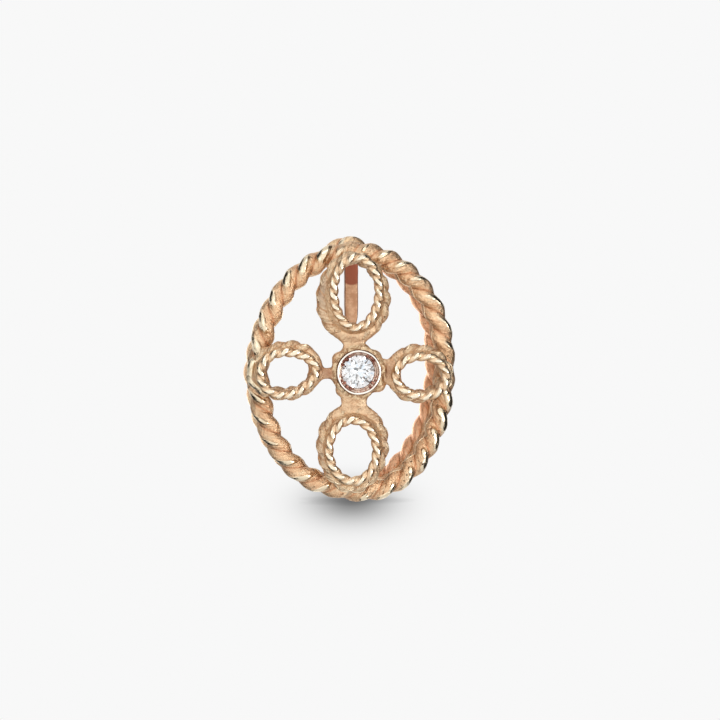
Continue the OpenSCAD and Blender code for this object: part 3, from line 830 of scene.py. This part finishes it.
# Each cut is a plane through three points: first the table, then seven in each eighth
cuts = [tuple(polar(TABLE_RADIUS, t, CROWN_HEIGHT) for t in (0, 90, 180))]
for t in range(0, 360, 45):
    table, next_table = [polar(TABLE_RADIUS, t + step, CROWN_HEIGHT) for step in (0, 45)]
    before, between, after = [polar(STONE_RADIUS, t + step, 0) for step in (0, half_eighth, 45)]
    upper = polar(CROWN_POINT_RADIUS, t + half_eighth, crown_point)
    lower = polar(PAVILION_POINT_RADIUS, t + half_eighth, pavilion_point)
    cuts += [
        (table, before, upper), (table, next_table, upper), (upper, between, before),
        (upper, between, after), (polar(0, 0, -PAVILION_HEIGHT), before, lower), (lower, between, before),
        (lower, between, after)]
rough_stone = bmesh.new()
bmesh.ops.create_cone(
    rough_stone, cap_ends=True, segments=96, radius1=STONE_RADIUS, radius2=STONE_RADIUS, depth=2.6)
centre = Vector((0, 0, -0.3))
girdle_drop = Vector((0, 0, 0.05))
for a, b, c in cuts:
    normal = (b - a).cross(c - a).normalized()
    if normal.dot(a - centre) < 0:
        normal = -normal
    spot = a - girdle_drop if a.z < 0 else a
    geometry = rough_stone.verts[:] + rough_stone.edges[:] + rough_stone.faces[:]
    cut = bmesh.ops.bisect_plane(
        rough_stone, geom=geometry, dist=1e-6, plane_co=spot, plane_no=normal, clear_outer=True)
    rim_edges = [e for e in cut["geom_cut"] if isinstance(e, bmesh.types.BMEdge)]
    if rim_edges:
        bmesh.ops.holes_fill(rough_stone, edges=rim_edges, sides=0)
bmesh.ops.remove_doubles(rough_stone, verts=rough_stone.verts[:], dist=1e-4)
bmesh.ops.recalc_face_normals(rough_stone, faces=rough_stone.faces[:])
for vertex in rough_stone.verts:
    x, y, z = vertex.co
    spot = Vector((BEZEL_MIDDLE[0] + x, -girdle_height - z, BEZEL_MIDDLE[1] + y))
    vertex.co = (spot - Vector(SEAT)) * 0.001
stone_mesh = bpy.data.meshes.new("brilliant")
rough_stone.to_mesh(stone_mesh)
rough_stone.free()
stone_mesh.update()
brilliant = place_in_scene("brilliant", stone_mesh)
# Cut diamond: its high index turns the light of the tent back through the crown in small flashes
diamond, add = new_material("cut_diamond")
place = add("TexCoord").outputs["Object"]
cloud = add("TexNoise", [place, per_mm(0.4), 3, 0.6])
tint = add("Mix", [cloud, srgb("#ffffff"), srgb("#eef4fa")], data_type="RGBA")
polish = add("MapRange", [cloud, 0.3, 0.7, 0.0, 0.02])
glass = add("BsdfPrincipled", {
    "Base Color": tint, "Roughness": polish, "IOR": 2.417, "Transmission Weight": 1.0})
add("OutputMaterial", [glass])
stone_mesh.materials.append(diamond)
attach(brilliant, "root")
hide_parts("stone")

# Ear hook. A flat strip of rolled gold bent twice over a mandrel, its edges broken with a file.
# The short tab is soldered to the back rope; the leg hangs behind and ends in a rounded tip.
STRIP_WIDTH = 0.98
STRIP_THICKNESS = 0.5
EAR_GAP = 3.2
HOOK_X = 0.82
HOOK_TOP = 9.0
BEND_RADIUS = 0.8
TAB_BOTTOM = 7.6
LEG_LENGTH = 5.9
TIP_LENGTH = 1.5
TIP_ROUND = 0.6
STRIP_SIDES = 40
# Power of the section's squared oval: the higher, the sharper its edges
SQUARENESS = 7
strip_front = back_depth + BACK_ROPE / 2 + 0.03
leg_front = strip_front + EAR_GAP
bend = BEND_RADIUS - STRIP_THICKNESS / 2
bend_height = HOOK_TOP - BEND_RADIUS
front_y = strip_front + STRIP_THICKNESS / 2
rear_y = leg_front + STRIP_THICKNESS / 2
tip_bottom = HOOK_TOP - STRIP_THICKNESS - LEG_LENGTH
quarter = np.linspace(0, pi / 2, 15)
path = [(front_y, z) for z in np.linspace(TAB_BOTTOM, bend_height, 5)[:-1]]
path += [(front_y + bend * (1 - cos(a)), bend_height + bend * sin(a)) for a in quarter]
path += [(y, HOOK_TOP - STRIP_THICKNESS / 2) for y in np.linspace(front_y + bend, rear_y - bend, 12)[1:-1]]
path += [(rear_y - bend * (1 - sin(a)), bend_height + bend * cos(a)) for a in quarter]
path += [(rear_y, z) for z in np.linspace(bend_height, tip_bottom + TIP_ROUND, 24)[1:-1]]
path += [(rear_y, tip_bottom + TIP_ROUND * (1 - sin(a))) for a in np.linspace(0, pi / 2, 16)[:-1]]
path.append((rear_y, tip_bottom + 0.004))
path = np.array(path)
edge = circle(STRIP_SIDES)
flat_x, flat_y = [np.sign(part) * np.abs(part) ** (2 / SQUARENESS) for part in (np.cos(edge), np.sin(edge))]
rings = []
for (y, z), (along_y, along_z) in zip(path, unit(np.gradient(path, axis=0))):
    half_x, half_t = STRIP_WIDTH / 2, STRIP_THICKNESS / 2
    near_tip = (tip_bottom + TIP_LENGTH - z) / TIP_LENGTH
    if abs(y - rear_y) < 1e-6 and near_tip > 0:
        half_x = half_x * sqrt(max(1 - near_tip ** 2.6, 1e-4))
        half_t = half_t * min(1, 0.55 + half_x)
    hand = 1 + 0.012 * sin(z * 3.1 + y) + 0.008 * sin(z * 7.7)
    x = HOOK_X + half_x * hand * flat_x
    rings.append(np.stack([x, y - along_z * half_t * flat_y, z + along_y * half_t * flat_y], axis=-1))
faces = tube_faces(len(rings), STRIP_SIDES, closed=False)
faces.append(list(range(STRIP_SIDES))[::-1])
faces.append(list(range((len(rings) - 1) * STRIP_SIDES, len(rings) * STRIP_SIDES)))
# The rings run the other way round than a rope's, so the faces are turned to look outward
faces = [face[:1] + face[:0:-1] for face in faces]
hook = smooth_piece(
    "ear_hook_strip", np.array(rings), faces, filed=np.tile(np.abs(flat_x) > 0.9, len(rings)))
# Rolled gold, with painted shade from the rim over the part near the bend: dark red there, then a
# curved boundary, then a mottled tan, with darker filed edges
STAIN_HEIGHT = -0.00278
STAIN_BOW = -650.0
rolled, add = new_material("rolled_strip_gold")
place = add("TexCoord").outputs["Object"]
parts = add("SeparateXYZ", [place])
mottle = add("TexNoise", [place, per_mm(0.6), 5, 0.7])
roll = add("Mapping", {"Vector": place, "Scale": (1, 1, 0.08)})
streak = add("TexNoise", [roll, per_mm(0.1), 3, 0.6])
bowl = add("Math", [parts, parts], operation="MULTIPLY")
bowl = add("Math", [bowl, STAIN_BOW, parts.outputs[2]], operation="MULTIPLY_ADD")
stain = add(
    "MapRange", [bowl, STAIN_HEIGHT - 0.00005, STAIN_HEIGHT + 0.00012], interpolation_type="SMOOTHSTEP")
# The painted shade is weaker on the back face of the leg
leg_back = (leg_front + STRIP_THICKNESS - SEAT[1]) * 0.001
wiped = add("MapRange", [parts.outputs[1], leg_back - 0.0003, leg_back, 1.0, 0.3])
stain = add("Math", [stain, wiped], operation="MULTIPLY")
patchy = add("MapRange", [mottle, 0.42, 0.58])
filed = add("Math", [add("Attribute", attribute_name="filed").outputs["Fac"], 0.75], operation="MULTIPLY")
colour = srgb("#f2cba8")
for share, tone in ((patchy, "#d8a886"), (stain, "#b06e58"), (filed, "#7d5c4c")):
    colour = add("Mix", [share, colour, srgb(tone)], data_type="RGBA")
rough = add("MapRange", [mottle, 0.3, 0.7, 0.34, 0.5])
finish_metal(add, colour, rough, streak, 0.35, 0.00002)
hook.data.materials.append(rolled)
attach(hook, "root")
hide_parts("ear_hook")

# Floor and backdrop. A plain white floor under the lowest lobe that glows so evenly that it
# shows no edge; it carries a painted shadow, a soft dark pool where the rim stands.
FLOOR_HALF = 3
SHADOW_WIDTH = 2.17
SHADOW_LENGTH = 6.16
SHADOW_DEPTH = 0.765
SHADOW_BACK = 0.0004
PALE = srgb("#f8f8f8")
floor_level = cad_box[0].z - 0.00003
floor_mesh = bpy.data.meshes.new("floor")
corners = [(x * FLOOR_HALF, y * FLOOR_HALF, floor_level) for x, y in ((-1, -1), (1, -1), (1, 1), (-1, 1))]
floor_mesh.from_pydata(corners, [], [(0, 1, 2, 3)])
floor = place_in_scene("floor", floor_mesh)
paper, add = new_material("white_paper")
spot = add("TexCoord").outputs["Object"]
for step, value in (("Location", (-rim_middle.x, -rim_middle.y - SHADOW_BACK, 0)),
                    ("Rotation", (0, 0, VIEW_YAW)),
                    ("Scale", (per_mm(SHADOW_WIDTH), per_mm(SHADOW_LENGTH), 0))):
    spot = add("Mapping", {"Vector": spot, step: value})
# Painted shadow: a soft oval pool, deepest under the rim, made darker still where the AO finds the rim
# close by
away = add("VectorMath", [spot, spot], operation="DOT_PRODUCT")
bell = add("Math", [add("Math", [away, -0.5], operation="MULTIPLY")], operation="EXPONENT")
lit = add("Math", [bell, -SHADOW_DEPTH, 1.0], operation="MULTIPLY_ADD")
open_sky = add("AmbientOcclusion", {"Distance": 0.0012}, samples=8).outputs["AO"]
lit = add("Math", [lit, add("MapRange", [open_sky, 0.0, 1.0, 0.7, 1.0])], operation="MULTIPLY")
add("OutputMaterial", [add("Emission", [PALE, lit])])
floor_mesh.materials.append(paper)
# The gold mirrors the tent below it, not the paper, as on a raised glass plate
floor.visible_glossy = False
floor.visible_transmission = False

# Light tent. Soft white round the camera, a dim room beside it and an even white background.
# Black flags stand left and right, a little behind the earring, and draw the thin dark lines
# on the polished gold.
world = bpy.data.worlds.new("light_tent")
bpy.context.scene.world = world
world.use_nodes = True
world.node_tree.nodes.clear()
add = partial(add_node, world.node_tree)
ray = add("TexCoord").outputs["Generated"]
ahead = add("VectorMath", [ray, tuple(view_ahead)], operation="DOT_PRODUCT")
# The right flag is raised and the left one lowered by 8 degrees
FLAG_TILT = radians(8)
flag_line = view_right * cos(FLAG_TILT) + view_up * sin(FLAG_TILT)
aside = add("VectorMath", [ray, tuple(flag_line)], operation="DOT_PRODUCT")
sideways = add("Math", [1.0001, add("Math", [ahead, ahead], operation="MULTIPLY")], operation="SUBTRACT")
aside = add("Math", [aside, add("Math", [sideways], operation="SQRT")], operation="DIVIDE")
# Columns: cosine to the direction the camera looks in, mapped to 0..1, and the brightness there
TENT = [
    (0.000, 0.6), (0.005, 1.18), (0.08, 1.18), (0.24, 0.98), (0.36, 0.92), (0.46, 0.84), (0.60, 0.76),
    (0.80, 0.9), (0.95, 1.2),
]
ramp = add("ValToRGB", [add("Math", [ahead, 0.5, 0.5], operation="MULTIPLY_ADD")])
while len(ramp.color_ramp.elements) < len(TENT):
    ramp.color_ramp.elements.new(0.5)
for element, (spot, bright) in zip(ramp.color_ramp.elements, TENT):
    element.position = spot
    element.color = (bright, bright, bright * 0.98, 1)
# Edges of the flags, and the gap at the middle of the left one that lets light in
right_flag, left_flag, right_end, left_end, gap, behind = [
    add("MapRange", row, interpolation_type="SMOOTHSTEP") for row in (
        (aside, 0.46, 0.58, 0.0, 1.0), (aside, -0.5, -0.36, 1.0, 0.0), (ahead, 0.8, 0.93, 1.0, 0.0),
        (ahead, 0.71, 0.87, 1.0, 0.0), (aside, -0.997, -0.965, 0.0, 1.0), (ahead, -0.28, -0.14, 0.0, 1.0))]
left_flag = add("Math", [left_flag, gap], operation="MULTIPLY")
flag = add("Math", [right_flag, right_end], operation="MULTIPLY")
flag = add("Math", [left_flag, left_end, flag], operation="MULTIPLY_ADD")
flag = add("Math", [flag, behind], operation="MULTIPLY")
lit = add("Mix", [flag, ramp, (0.02, 0.02, 0.02, 1)], data_type="RGBA")
# What the stone gathers is broken up like a room seen through many small facets
room = add("TexVoronoi", {"Vector": ray, "Scale": 5.0})
pane = add("SeparateXYZ", [room.outputs["Color"]])
sparkle = add("MapRange", [pane, 0.1, 0.26, 0.22, 1.22])
blue = add("MapRange", [pane.outputs[1], 0.86, 0.9, 0.0, 0.5])
flash = add("Mix", [blue, (1.0, 0.99, 0.98, 1), (0.55, 0.8, 1.0, 1)], data_type="RGBA")
flash = add("Mix", [1.0, flash, sparkle], data_type="RGBA", blend_type="MULTIPLY")
paths = add("LightPath")
lit = add("Mix", [paths.outputs["Is Transmission Ray"], lit, flash], data_type="RGBA")
lit = add("Mix", [paths.outputs["Is Camera Ray"], lit, PALE], data_type="RGBA")
add("OutputWorld", [add("Background", [lit, 1.0])])

# Columns: name, place in metres from the rim's middle, width, height, power in watts
PANELS = [
    ("left_panel", (-0.26, -0.24, 0.10), 0.10, 0.20, 0.06),
    ("top_panel", (0.0, -0.10, 0.34), 0.24, 0.12, 0.15),
    ("right_panel", (0.24, -0.26, -0.06), 0.12, 0.20, 0.5),
    ("back_panel", (-0.17, 0.26, -0.02), 0.30, 0.40, 0.75),
]
for name, spot, width, height, power in PANELS:
    light = bpy.data.lights.new(name, "AREA")
    light.shape = "RECTANGLE"
    light.size = width
    light.size_y = height
    light.energy = power
    lamp = place_in_scene(name, light)
    lamp.location = rim_middle + Vector(spot)
    lamp.rotation_mode = "QUATERNION"
    lamp.rotation_quaternion = (rim_middle - lamp.location).to_track_quat("-Z", "Y")
# The back panel shines through the earring on the inner wall alone, which is the back rope
shone_on = bpy.data.collections.new("shone_on_from_behind")
for piece in (rim_back, rim_solder):
    shone_on.objects.link(piece)
lamp.light_linking.receiver_collection = shone_on
